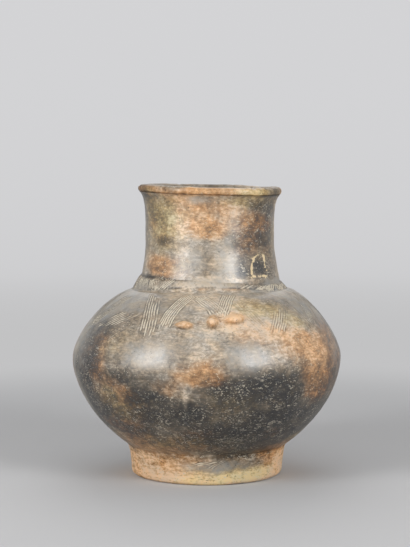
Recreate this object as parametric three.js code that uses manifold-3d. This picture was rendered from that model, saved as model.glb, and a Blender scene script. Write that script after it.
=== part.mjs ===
// A hand-built vase of smoke-fired clay: a ring foot, a round body made in two halves,
// a waisted neck with a rolled lip, and three small lugs pressed onto the shoulder.
// Millimetres, +Z up, origin at the centre of the foot's underside, front towards -Y.
import * as THREE from "three";
import { mergeVertices } from "three/addons/utils/BufferGeometryUtils.js";
import Module from "manifold-3d";

// Wall, and the layer of slip clay that lies between two joined pieces
const WALL = 6;
const SLIP = 0.3;

// Ring foot
const FOOT_RADIUS = 60; // outside, on the ground
const FOOT_TOP_RADIUS = 63.2; // outside, where the foot meets the bowl
const FOOT_BORE_RADIUS = 50; // inside
const FOOT_EDGE = 1.8; // rounding of the two edges on the ground

// Base disc and the bowl that is built up from its edge
const BASE_LIFT = 13; // ground to the disc's underside
const BASE_RADIUS = 46;
const BASE_THICKNESS = 5.2;
const BOWL_HEIGHT = 74; // disc's underside to the bowl's outer edge
const BODY_RADIUS = 106.5; // at the seam between bowl and shoulder
const SCARF_RISE = 5; // the seam climbs this much through the wall

// Shoulder
const SHOULDER_HEIGHT = 61.4; // outer edge of the bowl to the neck's seat
const SHOULDER_TOP_RADIUS = 58; // where its curve runs out into the neck's flat seat

// Neck
const NECK_BASE_RADIUS = 56.6;
const NECK_WAIST_RADIUS = 51.2;
const NECK_TOP_RADIUS = 55.8;
const WAIST_HEIGHT = 35.6; // seat to waist
const FLARE_HEIGHT = 39; // waist to the lip's seat

// Rolled lip
const LIP_RADIUS = 56.7;
const LIP_BORE_RADIUS = 47.6;
const LIP_HEIGHT = 6;
const LIP_CENTRE = 2.8; // height of the roll's centre line above its seat
const LIP_SQUARING = 0.8; // 1 is an ellipse, and smaller is squarer

// Collar: a fillet of clay pressed into the corner of neck and shoulder
const COLLAR_REACH = 63.5; // radius of its lower edge on the shoulder
const COLLAR_HEIGHT = 5.6; // of its upper edge on the neck, above the seat
const COLLAR_BULGE = 1.5; // stands this far proud of a straight fillet

// Unevenness of the hand-made pot
const NECK_SHIFT = 2.2; // the neck stands this far off centre, towards +X
const SHIFT_GATHER = 4; // power that keeps the shift near the top of the shoulder
const MOUTH_TILT = 1.6; // degrees, lower towards +X
const TILT_GATHER = 2; // power that keeps the tilt near the mouth

// Lugs, pressed on by hand: a spindle of clay with its middle on the shoulder's surface.
// Azimuth is in degrees from the front towards +X, lift is the height above the bowl's edge,
// turn is in degrees from level, and swell makes one end of the spindle fuller.
const LUGS = [
  { name: "lug_left", azimuth: -11.3, lift: 39.6, length: 15.4, breadth: 6.6, depth: 4.4, turn: -1, swell: 0 },
  { name: "lug_centre", azimuth: 2.5, lift: 42, length: 13.6, breadth: 9.4, depth: 5.4, turn: 86, swell: -0.35 },
  { name: "lug_right", azimuth: 13.1, lift: 43.4, length: 18, breadth: 7, depth: 4.6, turn: 12, swell: 0.1 },
];
const LUG_POINT = 0.75; // how pointed a spindle's ends are: 0.5 is an ellipsoid

// Facets: sides around the pot, and spans along each outline
const SIDES = 64;
const BODY_SPANS = 9;
const LINING_SPANS = 7;
const NECK_SPANS = 5;
const EDGE_SPANS = 2;
const SEAT_SPANS = 2;
const COLLAR_SPANS = 4;
const LIP_POINTS = 14;
const LUG_SIDES = 14;
const LUG_ROWS = 10;

// Levels that follow from the sizes above
const BOWL_TOP = BASE_LIFT + BOWL_HEIGHT;
const NECK_SEAT = BOWL_TOP + SHOULDER_HEIGHT;
const WAIST_LEVEL = NECK_SEAT + WAIST_HEIGHT;
const LIP_SEAT = WAIST_LEVEL + FLARE_HEIGHT;
const NECK_BORE_RADIUS = NECK_BASE_RADIUS - WALL;

const wasm = await Module();
wasm.setup();

const at = (radius, level) => new THREE.Vector2(radius, level);

// A cubic curve from one point to another. Each handle is a share of the run and of the rise.
function sweep(from, to, first, second) {
  const handle = ([run, rise]) =>
    at(from.x + run * (to.x - from.x), from.y + rise * (to.y - from.y));
  return new THREE.CubicBezierCurve(from, handle(first), handle(second), to);
}

// Outer surfaces, each drawn upwards
const bowlCurve = sweep(at(BASE_RADIUS, BASE_LIFT), at(BODY_RADIUS, BOWL_TOP), [0.973, 0.454], [0.96, 0.953]);
const shoulderCurve = sweep(
  at(BODY_RADIUS, BOWL_TOP),
  at(SHOULDER_TOP_RADIUS, NECK_SEAT),
  [-0.086, 0.353],
  [0.555, 0.955],
);
const waistCurve = sweep(
  at(NECK_BASE_RADIUS, NECK_SEAT),
  at(NECK_WAIST_RADIUS, WAIST_LEVEL),
  [0.222, 0.242],
  [1, 0.69],
);
const flareCurve = sweep(at(NECK_WAIST_RADIUS, WAIST_LEVEL), at(NECK_TOP_RADIUS, LIP_SEAT), [0, 0.385], [-0.26, 0.885]);

// The unit normal of an upward curve that points out of the clay
function outward(curve, t) {
  const along = curve.getTangent(t);
  return at(along.y, -along.x);
}

const beside = (curve, t, out) => curve.getPoint(t).addScaledVector(outward(curve, t), out);

// Points along a curve from one parameter to another, moved out of the clay by a distance
function trace(curve, spans, out = 0, from = 0, to = 1) {
  return Array.from({ length: spans + 1 }, (_, i) => beside(curve, from + (i / spans) * (to - from), out));
}

// The parameter at which a curve, moved out by a distance, reaches a value of one coordinate
function reach(curve, axis, value, out = 0) {
  const rising = beside(curve, 1, out)[axis] > beside(curve, 0, out)[axis];
  let low = 0;
  let high = 1;
  for (let i = 0; i < 40; i += 1) {
    const middle = (low + high) / 2;
    if (beside(curve, middle, out)[axis] < value === rising) low = middle;
    else high = middle;
  }
  return low;
}

// A quarter round from one point to another about a corner
function rounded(from, corner, to, spans) {
  return new THREE.QuadraticBezierCurve(from, corner, to).getPoints(spans);
}

// The hand-made pot's unevenness: the neck's shift and the mouth's tilt grow with height
function settle(geometry) {
  const place = geometry.attributes.position;
  const share = (level, low, high) => THREE.MathUtils.clamp((level - low) / (high - low), 0, 1);
  const slope = Math.tan(THREE.MathUtils.degToRad(MOUTH_TILT));
  for (let i = 0; i < place.count; i += 1) {
    const x = place.getX(i);
    const z = place.getZ(i);
    place.setX(i, x + NECK_SHIFT * share(z, BOWL_TOP, NECK_SEAT) ** SHIFT_GATHER);
    place.setZ(i, z - x * slope * share(z, NECK_SEAT, LIP_SEAT) ** TILT_GATHER);
  }
  return geometry;
}

// A ring or disc of clay turned from its section, listed anticlockwise
function turned(section) {
  const closes = section[0].x > 0;
  const points = closes ? [...section, section[0].clone()] : section;
  return new THREE.LatheGeometry(points, SIDES).rotateX(Math.PI / 2);
}

function solidOf(geometry) {
  const bare = geometry.clone();
  bare.deleteAttribute("normal");
  bare.deleteAttribute("uv");
  const merged = mergeVertices(bare, 1e-4);
  return new wasm.Manifold(
    new wasm.Mesh({
      numProp: 3,
      vertProperties: merged.attributes.position.array,
      triVerts: new Uint32Array(merged.index.array),
    }),
  );
}

function geometryOf(solid) {
  const mesh = solid.getMesh();
  return new THREE.BufferGeometry()
    .setAttribute("position", new THREE.BufferAttribute(mesh.vertProperties, 3))
    .setIndex(new THREE.BufferAttribute(mesh.triVerts, 1));
}

function piece(name, geometry, colour, roughness) {
  const material = new THREE.MeshStandardMaterial({ color: colour, roughness, metalness: 0 });
  const mesh = new THREE.Mesh(settle(geometry), material);
  mesh.name = name;
  return mesh;
}

// The foot's top is the bowl's underside, moved down by the slip between them
function footRing() {
  const inner = reach(bowlCurve, "x", FOOT_BORE_RADIUS, SLIP);
  const outer = reach(bowlCurve, "x", FOOT_TOP_RADIUS, SLIP);
  const lean = (FOOT_TOP_RADIUS - FOOT_RADIUS) / beside(bowlCurve, outer, SLIP).y;
  const outerEdge = rounded(
    at(FOOT_RADIUS - FOOT_EDGE, 0),
    at(FOOT_RADIUS, 0),
    at(FOOT_RADIUS + lean * FOOT_EDGE, FOOT_EDGE),
    EDGE_SPANS,
  );
  const innerEdge = rounded(
    at(FOOT_BORE_RADIUS, FOOT_EDGE),
    at(FOOT_BORE_RADIUS, 0),
    at(FOOT_BORE_RADIUS + FOOT_EDGE, 0),
    EDGE_SPANS,
  );
  const seat = trace(bowlCurve, SEAT_SPANS, SLIP, outer, inner);
  return turned([...outerEdge, ...seat, ...innerEdge]);
}

// The disc's edge is bevelled to the line on which the bowl's wall starts
function baseDisc() {
  const out = outward(bowlCurve, 0);
  const edge = at(BASE_RADIUS - SLIP / -out.y, BASE_LIFT);
  const top = edge.clone().addScaledVector(out, BASE_THICKNESS / out.y);
  return turned([at(0, BASE_LIFT), edge, top, at(0, top.y)]);
}

// The seam between bowl and shoulder climbs from the outer edge to the inner face
const scarfInner = reach(shoulderCurve, "y", BOWL_TOP + SCARF_RISE, -WALL);
const scarfEnd = beside(shoulderCurve, scarfInner, -WALL);
const scarfRun = BODY_RADIUS - scarfEnd.x;
const scarfGap = (SLIP * Math.hypot(scarfRun, SCARF_RISE)) / scarfRun;

function lowerBody() {
  const outer = trace(bowlCurve, BODY_SPANS);
  const bend = reach(bowlCurve, "y", beside(shoulderCurve, 0, -WALL).y, -WALL);
  const inner = trace(bowlCurve, LINING_SPANS, -WALL, bend, 0);
  return turned([...outer, scarfEnd, ...inner]);
}

function shoulder() {
  const outer = trace(shoulderCurve, BODY_SPANS, 0, reach(shoulderCurve, "y", BOWL_TOP + scarfGap), 1);
  const hole = at(NECK_BORE_RADIUS, NECK_SEAT);
  const under = at(NECK_BORE_RADIUS, beside(shoulderCurve, 1, -WALL).y);
  const start = reach(shoulderCurve, "y", BOWL_TOP + SCARF_RISE + scarfGap, -WALL);
  const inner = trace(shoulderCurve, LINING_SPANS, -WALL, 1, start);
  return turned([...outer, hole, under, ...inner]);
}

function neck() {
  const foot = reach(waistCurve, "y", NECK_SEAT + SLIP);
  const outer = [...trace(waistCurve, NECK_SPANS, 0, foot, 1), ...trace(flareCurve, NECK_SPANS).slice(1)];
  const inner = [...trace(flareCurve, NECK_SPANS, -WALL, 1, 0), ...trace(waistCurve, NECK_SPANS, -WALL, 1, 0).slice(1)];
  inner[0].y = LIP_SEAT;
  inner[inner.length - 1].y = NECK_SEAT + SLIP;
  return turned([...outer, ...inner]);
}

// A roll of clay, squared a little, that lies flat on the top of the neck
function rimRoll() {
  const seat = LIP_SEAT + SLIP;
  const middle = at((LIP_RADIUS + LIP_BORE_RADIUS) / 2, LIP_SEAT + LIP_CENTRE);
  const half = at((LIP_RADIUS - LIP_BORE_RADIUS) / 2, LIP_HEIGHT - LIP_CENTRE);
  const squared = (v) => Math.sign(v) * Math.abs(v) ** LIP_SQUARING;
  const section = Array.from({ length: LIP_POINTS }, (_, i) => {
    const turn = (2 * Math.PI * (i + 0.5)) / LIP_POINTS;
    const level = middle.y + half.y * squared(Math.sin(turn));
    return at(middle.x + half.x * squared(Math.cos(turn)), Math.max(level, seat));
  });
  return turned(section);
}

// Its back follows the neck and its underside the shoulder, each across a layer of slip
function collar() {
  const top = NECK_SEAT + COLLAR_HEIGHT;
  const upper = reach(waistCurve, "y", top, SLIP);
  const lower = reach(waistCurve, "y", NECK_SEAT + SLIP, SLIP);
  const back = trace(waistCurve, SEAT_SPANS, SLIP, upper, lower);
  const under = trace(shoulderCurve, SEAT_SPANS, SLIP, 1, reach(shoulderCurve, "x", COLLAR_REACH, SLIP));
  const low = under[under.length - 1];
  const high = back[0];
  const chord = high.clone().sub(low);
  const proud = at(chord.y, -chord.x).normalize().multiplyScalar(2 * COLLAR_BULGE);
  const corner = low.clone().add(high).multiplyScalar(0.5).add(proud);
  const face = rounded(low, corner, high, COLLAR_SPANS).slice(1, -1);
  return turned([...face, ...back, ...under]);
}

// The shoulder's solid envelope, which the lugs are cut to fit
const bed = solidOf(
  turned([
    at(0, BOWL_TOP),
    ...trace(shoulderCurve, BODY_SPANS, SLIP, reach(shoulderCurve, "y", BOWL_TOP + scarfGap), 1),
    at(0, NECK_SEAT + SLIP),
  ]),
);

function lug({ azimuth, lift, length, breadth, depth, turn, swell }) {
  const t = reach(shoulderCurve, "y", BOWL_TOP + lift);
  const spot = shoulderCurve.getPoint(t);
  const rise = outward(shoulderCurve, t);
  const spindle = new THREE.SphereGeometry(1, LUG_SIDES, LUG_ROWS).rotateZ(-Math.PI / 2);
  const place = spindle.attributes.position;
  for (let i = 0; i < place.count; i += 1) {
    const x = place.getX(i);
    const thin = Math.max(1 - x * x, 0) ** (LUG_POINT - 0.5) * (1 + swell * x);
    place.setXYZ(i, (x * length) / 2, (place.getY(i) * thin * breadth) / 2, place.getZ(i) * thin * depth);
  }
  const azimuthTurn = THREE.MathUtils.degToRad(azimuth);
  spindle
    .rotateZ(THREE.MathUtils.degToRad(turn))
    .rotateX(Math.atan2(rise.x, rise.y))
    .translate(0, -spot.x, spot.y)
    .rotateZ(azimuthTurn);
  return geometryOf(solidOf(spindle).subtract(bed));
}

const vase = new THREE.Group();
vase.add(
  piece("foot_ring", footRing(), 0xa8825c, 0.7),
  piece("base_disc", baseDisc(), 0x8a6f56, 0.8),
  piece("lower_body", lowerBody(), 0x5a4a3e, 0.45),
  piece("shoulder", shoulder(), 0x7d7060, 0.5),
  piece("collar", collar(), 0x857a6b, 0.6),
  piece("neck", neck(), 0x8a6c50, 0.5),
  piece("rim_roll", rimRoll(), 0xa78462, 0.6),
);
for (const form of LUGS) vase.add(piece(form.name, lug(form), 0x9a7450, 0.55));

export default vase;
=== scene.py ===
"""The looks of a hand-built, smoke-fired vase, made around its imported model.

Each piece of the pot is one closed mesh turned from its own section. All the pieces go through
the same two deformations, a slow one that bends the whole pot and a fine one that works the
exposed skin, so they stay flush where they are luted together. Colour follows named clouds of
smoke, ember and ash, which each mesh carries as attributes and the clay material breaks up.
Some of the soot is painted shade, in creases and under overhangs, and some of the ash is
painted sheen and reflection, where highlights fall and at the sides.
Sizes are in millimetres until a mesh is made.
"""

import functools
import itertools
import math

import bmesh
import bpy
import numpy as np
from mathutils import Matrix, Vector


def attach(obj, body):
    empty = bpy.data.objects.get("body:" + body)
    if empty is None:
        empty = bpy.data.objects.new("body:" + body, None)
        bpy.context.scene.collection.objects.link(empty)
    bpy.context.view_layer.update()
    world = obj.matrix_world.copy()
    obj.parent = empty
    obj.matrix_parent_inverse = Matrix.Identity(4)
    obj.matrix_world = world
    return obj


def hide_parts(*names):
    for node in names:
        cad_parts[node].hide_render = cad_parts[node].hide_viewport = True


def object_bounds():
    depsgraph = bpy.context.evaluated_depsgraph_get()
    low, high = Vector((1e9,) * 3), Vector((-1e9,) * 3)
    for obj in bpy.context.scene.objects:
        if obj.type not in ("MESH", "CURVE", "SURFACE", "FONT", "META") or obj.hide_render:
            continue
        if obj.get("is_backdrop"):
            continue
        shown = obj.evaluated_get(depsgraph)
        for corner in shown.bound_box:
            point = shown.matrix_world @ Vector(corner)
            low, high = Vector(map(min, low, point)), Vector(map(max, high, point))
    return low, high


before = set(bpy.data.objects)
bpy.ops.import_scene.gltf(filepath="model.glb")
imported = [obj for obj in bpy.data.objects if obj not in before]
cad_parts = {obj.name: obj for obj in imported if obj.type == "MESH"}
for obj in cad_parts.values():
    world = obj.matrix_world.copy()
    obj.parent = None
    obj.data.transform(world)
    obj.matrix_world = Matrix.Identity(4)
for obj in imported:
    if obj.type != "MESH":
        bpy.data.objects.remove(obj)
cad_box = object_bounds()

MM = 0.001

# The pot's driving sizes, the same as the solids'
WALL = 6.0
FOOT_RADIUS = 60.0
FOOT_TOP_RADIUS = 63.2
FOOT_BORE_RADIUS = 50.0
FOOT_EDGE = 1.8
BASE_LIFT = 13.0
BASE_RADIUS = 46.0
BASE_THICKNESS = 5.2
BOWL_HEIGHT = 74.0
BODY_RADIUS = 106.5
SHOULDER_HEIGHT = 61.4
SHOULDER_TOP_RADIUS = 58.0
NECK_BASE_RADIUS = 56.6
NECK_WAIST_RADIUS = 51.2
NECK_TOP_RADIUS = 55.8
WAIST_HEIGHT = 35.6
FLARE_HEIGHT = 39.0
LIP_RADIUS = 56.7
LIP_BORE_RADIUS = 47.6
LIP_HEIGHT = 6.0
LIP_CENTRE = 2.8
LIP_SQUARING = 0.8
COLLAR_REACH = 63.5
COLLAR_HEIGHT = 5.6
COLLAR_BULGE = 1.5
SCARF_RISE = 5.0
NECK_SHIFT = 2.2
SHIFT_GATHER = 4
MOUTH_TILT = 1.6
TILT_GATHER = 2

BOWL_TOP = BASE_LIFT + BOWL_HEIGHT
NECK_SEAT = BOWL_TOP + SHOULDER_HEIGHT
WAIST_LEVEL = NECK_SEAT + WAIST_HEIGHT
LIP_SEAT = WAIST_LEVEL + FLARE_HEIGHT
NECK_BORE_RADIUS = NECK_BASE_RADIUS - WALL
CURVE_STEPS = 48

# Unevenness of the hand-made surface: a pair is the height of the waves and their largest size
WOBBLE = 0.35, 75.0
DIMPLE = 0.22, 24.0
STROKE = 0.07, 6.5
GRIT = 0.035, 1.9
BRUSHED = 0.12, 3.2  # round the foot
WIPED = 0.1, 2.6  # round the neck below the lip
FINGER_MARKS = 0.5, 18.0
RIM_DIP = 0.35, 22.0
RIM_NICK = 0.7, 7.0
RIM_SWELL = 0.3, 15.0
COLLAR_WAVE = 0.5, 30.0
FOOT_WAVE = 0.5, 34.0
LUG_WAVE = 0.12, 4.0
FEATHER = 0.15  # how deep a smeared edge sinks into the piece that it is smeared over
FOOT_ROUND = 3.4  # the worn rounding of the foot's outer edge on the ground
CREASE_ROUND = 13.0  # how far the carination's rounding reaches to each side
COLLAR_LIFT = 2.3  # how much higher than the solid the collar's smeared edge reaches
COLLAR_SLANT = 2.9  # and how much more than that on the left, or less on the right
COLLAR_STEP = 0.8  # the height of the step that the collar's thick part ends in
COLLAR_ARCH = 4.0  # how much higher that step lies at the front
CREASE_DEPTH = 0.3  # how deep the creases along the collar are
LEFT_RIDGE = 0.6  # the carination is this much prouder on the left
STEADY_RADIUS = 20.0  # within this the wobble fades towards the axis
STEADY_LEVELS = 2, 30  # and between these it grows from nothing on the ground

# Combed strokes: azimuth in degrees and level at the low and the high end, the number of teeth,
# their spacing, how far the stroke's middle bows in degrees, and how deep it was pressed
COMB = [
    (-58, 123, -45, 133, 6, 2.1, 0, 1), (-52, 114, -45, 123, 4, 2.2, 0, 0.5),
    (-28.8, 121, -38, 145, 6, 2.1, 1.8, 0.95), (-21, 127, -13, 146.5, 6, 1.75, -1.6, 1.3),
    (-14, 141, -4, 146, 4, 1.6, 0, 0.7), (5.4, 135, -6.5, 145.5, 6, 1.8, 1, 1.4),
    (6.8, 134, 12.8, 146.3, 6, 1.7, -0.6, 1.4), (27, 124, 17.5, 142, 5, 2, 0, 0.35),
    (34, 121, 43, 136, 6, 2, 0, 0.7), (56, 122, 48, 142, 5, 2.1, 0, 0.5),
]
COMB_DEPTH = 0.42  # of a groove that was pressed in by 1
COMB_WANDER = 0.4  # how far a groove strays to its sides
COMB_SLIP = 0.13  # how unevenly the teeth start and stop, as a share of the stroke
COMB_NEAR = 30.0  # beyond this from its middle a stroke leaves no mark
FAINTEST_GROOVE = 0.03  # where the mesh is still made finer
BACK_COMB_FROM, BACK_COMB_TO = 68.0, 296.0  # the side that the front doesn't show, in degrees
BACK_COMB_STEP = 12.5
BACK_COMB_LOW, BACK_COMB_HIGH = 122, 143
BACK_COMB_LEAN = 10
BACK_COMB_PITCH = 2.0

# Short strokes on the collar, away from the middle of the front, and scratches on the foot, which
# are listed as combed strokes are
COLLAR_STROKES_AT = np.arange(33, 328, 4.5)
COLLAR_STROKE_TEETH = 3
COLLAR_STROKE_PITCH = 1.6
FOOT_SCRATCHES = [
    (-7, 18.6, 3, 21, 2, 1.5, 1.5, 0.95), (3, 16.6, 12, 21.2, 2, 1.3, -1, 0.85),
]

# Clouds of colour: azimuth in degrees, level, half width and half height on the surface, strength.
# An azimuth of 280 is the place of -80, and -280 that of 80, but the copy at the back lies elsewhere
CLOUDS = {
    # Soot clouds, and some lines of painted shade, which are marked where they stand
    "soot": [
        (25, 81, 27, 13, 1), (38, 73, 16, 14, 0.9), (7, 78, 16, 9, 0.8), (34, 58, 30, 13, 1),
        (22, 43, 34, 11, 1), (14, 45, 34, 10, 0.35), (-8, 61, 14, 10, 1), (-28, 71, 18, 15, 0.85),
        (-20, 56, 22, 7, 0.8), (-41, 87, 14, 6, 0.55), (-56, 56, 12, 9, 1), (-60, 74, 8, 10, 0.7),
        (-46, 45, 20, 5, 0.8), (-56, 60, 8, 8, 0.4), (-58, 94, 18, 15, 0.9),
        (-70, 112, 20, 26, 0.8), (60, 52, 24, 13, 1), (48, 40, 22, 7, 0.8), (-58, 120, 20, 11, 0.6),
        (20, 32, 34, 5, 0.7), (-20, 38, 50, 9, 0.45), (-42, 48, 24, 9, 0.6), (-46, 166, 20, 9, 0.2),
        (6, 212, 40, 10, 0.15), (0, 228, 60, 6, 0.2), (8, 60, 16, 10, 0.5), (-58, 60, 14, 14, 0.75),
        # (10, 1, 60, 0.8, 0.4) is painted shade, a dark line along the foot's edge on the ground
        (30, 28, 30, 7, 0.5), (60, 68, 14, 8, 0.5), (10, 1, 60, 0.8, 0.4), (60, 78, 14, 10, 0.35),
        (-68, 66, 18, 36, 0.7), (74, 90, 10, 50, 0.25), (-2, 47, 18, 5, 0.5), (27, 164, 5, 6, 0.8),
        (46, 167, 8, 7, 0.7), (50, 188, 18, 6, 0.7), (32, 178, 10, 14, 0.4), (28, 188, 8, 16, 0.4),
        (46, 215, 12, 5, 0.7), (48, 200, 18, 8, 0.55), (74, 190, 8, 30, 0.15),
        (-46, 64, 24, 16, 0.25), (60, 92, 22, 16, 0.2), (62, 212, 8, 9, 0.7),
        (72, 188, 12, 28, 0.6), (-62, 200, 6, 22, 0.15), (-44, 187, 9, 2.5, 0.6),
        (-50, 206, 10, 6, 0.3), (-24, 168, 7, 6, 0.35), (-2, 178, 4, 16, 0.3), (-3, 196, 7, 4, 0.3),
        # These three thin lines are painted shadow under the lip's overhang
        (0, 224.5, 200, 1.6, 0.35), (-62, 224.5, 18, 1.8, 0.5), (52, 224, 18, 1.8, 0.6),
        (14, 17, 24, 5, 0.5), (38, 17, 18, 4, 0.2), (66, 228, 14, 6, 0.55),
    ],
    "pale": [
        (-9, 74, 2.5, 8, 1), (8, 128, 38, 14, 0.65), (24, 124, 24, 12, 0.6), (36, 112, 20, 16, 0.5),
        (2, 146, 36, 6, 0.55), (-16, 118, 22, 8, 0.1), (0, 105, 14, 11, 0.38),
        (52, 102, 14, 10, 0.35), (60, 122, 20, 12, 0.3), (0, 178, 34, 22, 0.5),
        (2, 142, 18, 8, 0.8), (-22, 201, 20, 12, 0.5), (8, 214, 28, 8, 0.35),
        (22, 204, 12, 9, 0.35), (-42, 168, 14, 8, 0.2), (-20, 220, 14, 4, 0.4),
        (0, 228, 46, 6, 0.4), (38, 227, 18, 5, 0.85), (0, 5, 70, 8, 1), (12, 9, 34, 6, 0.45),
        (64, 18, 14, 8, 0.5), (0, 228, 200, 5, 0.2), (2, 155, 34, 4, 1), (56, 150, 22, 5, 0.6),
        # (-74, 186, ...) is painted reflection, pale at the neck's left side where it turns away
        (-60, 152, 22, 5, 0.25), (36, 128, 20, 10, 0.3), (-74, 186, 14, 30, 0.7),
        # These four are painted reflection, pale at the pot's sides where they turn away
        (280, 110, 15, 20, 0.45), (278, 66, 14, 18, 0.45), (-280, 116, 13, 18, 0.6),
        (-276, 76, 13, 20, 0.65), (0, 150, 200, 4, 0.2), (-46, 14, 40, 10, 0.75),
        (66, 12, 18, 12, 0.85), (44, 9, 28, 8, 0.7), (-50, 208, 20, 12, 0.15), (-2, 20, 8, 2, 0.6),
    ],
    "ember": [
        (-3, 89, 19, 7, 1), (2, 84, 14, 3, 0.5), (-1, 99, 15, 5, 0.35), (56, 92, 22, 15, 1),
        (46, 110, 26, 14, 0.85), (56, 74, 16, 10, 1), (70, 104, 14, 30, 0.7), (80, 88, 12, 22, 0.5),
        (22, 120, 20, 10, 0.5), (8, 130, 20, 8, 0.4), (-10, 127, 8, 4, 0.3), (14, 134, 10, 5, 0.45),
        (-42, 66, 18, 15, 0.95), (-48, 50, 22, 11, 1), (-50, 208, 18, 10, 0.35),
        (-50, 98, 10, 16, 0.6), (-30, 34, 48, 11, 0.95), (54, 28, 26, 8, 0.9), (8, 61, 14, 9, 0.2),
        (-4, 44, 16, 6, 0.6), (36, 43, 10, 5, 0.5), (-18, 80, 12, 7, 0.4), (46, 201, 18, 7, 1),
        (-1, 196, 13, 7, 1), (0, 210, 26, 8, 0.75), (-24, 203, 18, 12, 0.6),
        (-46, 167, 22, 9, 0.95), (-56, 196, 12, 8, 0.5), (-26, 220, 12, 5, 0.9),
        (56, 182, 14, 6, 0.4), (-46, 12, 60, 14, 0.95), (66, 12, 22, 14, 0.95), (-6, 5, 60, 6, 0.5),
        (34, 186, 12, 10, 0.45), (44, 192, 14, 8, 0.4), (0, 227, 44, 6, 1), (-66, 226, 20, 6, 0.8),
        (-5, 151, 6, 1.3, 0.5), (15, 151, 9, 1.2, 0.5),
    ],
    "olive": [
        (-46, 74, 12, 10, 0.7), (-38, 60, 14, 10, 0.75), (-30, 72, 12, 10, 0.4),
        (-44, 112, 24, 14, 0.4), (30, 138, 24, 10, 0.65), (46, 128, 16, 10, 0.55),
        (8, 66, 14, 12, 0.15), (-14, 38, 38, 11, 0.65), (24, 40, 30, 8, 0.4),
        (10, 70, 22, 12, 0.45), (-72, 190, 12, 30, 0.4), (-52, 62, 12, 10, 0.7),
        (-62, 38, 12, 6, 0.6), (60, 36, 12, 6, 0.6), (-50, 209, 22, 13, 0.9),
        (-44, 192, 18, 8, 0.6), (-46, 180, 16, 7, 0.4), (36, 218, 30, 6, 0.7),
        (-24, 166, 8, 8, 0.5), (22, 168, 6, 10, 0.4), (52, 178, 12, 12, 0.35), (30, 9, 26, 7, 0.7),
        (8, 15, 26, 6, 0.6), (0, 6, 34, 5, 0.6), (40, 228, 20, 6, 0.8), (-60, 227, 12, 5, 0.5),
    ],
    "ash": [
        # Ash clouds, and painted sheen and reflection, which are marked where they stand
        (0, 147, 95, 9, 0.35), (-34, 138, 50, 9, 0.4), (-68, 112, 22, 26, 0.35),
        # These three, and (-68, 112, ...) above, are painted reflection, pale grey at the pot's
        # sides
        (280, 112, 18, 20, 0.6), (283, 68, 16, 22, 0.55), (-74, 186, 14, 30, 0.35),
        # (-24, 107, ...) and (17, 105, ...) are painted sheen, a pale grey film where the highlights
        # fall
        (66, 138, 34, 16, 0.6), (-24, 107, 24, 14, 0.6), (17, 105, 20, 11, 0.6),
        (0, 119, 14, 4, 0.5), (-12, 172, 10, 18, 0.4), (14, 172, 9, 18, 0.6), (-12, 219, 8, 4, 0.6),
        (0, 155, 26, 3, 0.7), (54, 150, 26, 5, 0.8), (-60, 152, 22, 5, 0.4), (12, 18, 24, 5, 0.5),
        (2, 15, 24, 6, 0.45), (24, 128, 24, 10, 0.3),
    ],
}

# The outline of a flake that has come off the neck, as azimuth in degrees and level
FLAKE = [
    (39, 159.5), (38.5, 166), (40, 172), (44, 175.5), (50, 177.5), (54.5, 175), (55.5, 168),
    (58, 164), (65, 162.5), (56, 159.5), (46, 160),
]
FLAKE_DEPTH = 0.35
FLAKE_FAR = 8.0  # the distance to the flake's edge is measured up to here

SMOKE_LEVEL = 0.37  # how deeply smoke colours the clay where there is no cloud
SOOT_AND_SHADE_DEPTH = 0.62
PALE_DEPTH = 0.42
CLOUD_WANDER = 6.5, 26.0  # how far a cloud's edge wanders, and over what distance
CLOUD_FADE = 0.7  # how fast a cloud thins out near its half width
WIDEST_BACK_CLOUD = 100.0  # a wider cloud goes all round the pot, so it needs no copy
BACK_SPREAD = 1.35  # how much wider the clouds spread round the back than over the front
BACK_LEVELS = 3, 228  # the levels that a cloud at the back keeps to
INNER_SHARE = 0.4  # the room that what lies inside gets in the flat map, where the skin gets 1
STRIP_MARGIN = 0.02  # of each strip of the map, on every side
WELD = 1e-7  # metres
SEED = 11
HASH = 374761393, 668265263, 1440662683, 1274126177, 1103515245  # large, odd and unrelated


def smooth(low, high, value):
    t = np.clip((value - low) / (high - low), 0.0, 1.0)
    return t * t * (3 - 2 * t)


def bell(offset, width):
    return np.exp(-((offset / width) ** 2))


def between(at, marks, pairs):
    """The pair of values at each place, from the pairs known at the marks."""
    return np.stack([np.interp(at, marks, pairs[:, k]) for k in (0, 1)], -1)


def arc(azimuth, centre, radius):
    """How far round the pot each place lies from another azimuth, in millimetres."""
    return np.radians((azimuth - centre + 180) % 360 - 180) * radius


def level_ring(azimuth, radius):
    """Each azimuth's place on a level ring, for noise that changes only round the pot."""
    turn = np.radians(azimuth)
    return np.stack([np.cos(turn), np.sin(turn), 0 * turn], -1) * radius


def lattice(cell, seed):
    """A fixed value from -1 to 1 for each whole-number cell."""
    mixed = sum(cell[..., k] * HASH[k] for k in range(3)) + seed * HASH[3]
    mixed = (mixed ^ (mixed >> 13)) * HASH[4]
    mixed = mixed ^ (mixed >> 16)
    return (mixed & 0xFFFFFF) / 0x7FFFFF - 1.0


def noise(points, size, octaves, seed, stretch=(1, 1, 1)):
    """Fractal noise, about -1 to 1, whose largest features are size mm across."""
    total, gain, gains = 0.0, 1.0, 0.0
    for octave in range(octaves):
        grid = points * (2**octave / size) / np.array(stretch, float)
        base = np.floor(grid).astype(np.int64)
        part = grid - base
        part = part**3 * (part * (part * 6 - 15) + 10)
        for corner in itertools.product((0, 1), repeat=3):
            share = np.prod(np.where(corner, part, 1 - part), axis=-1)
            total = total + gain * share * lattice(base + np.array(corner), seed + octave)
        gains += gain
        gain *= 0.5
    return 1.5 * total / gains


def waves(measure, points, octaves, seed, stretch=(1, 1, 1)):
    """Noise whose height and largest size are given together."""
    height, size = measure
    return height * noise(points, size, octaves, seed, stretch)


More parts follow.
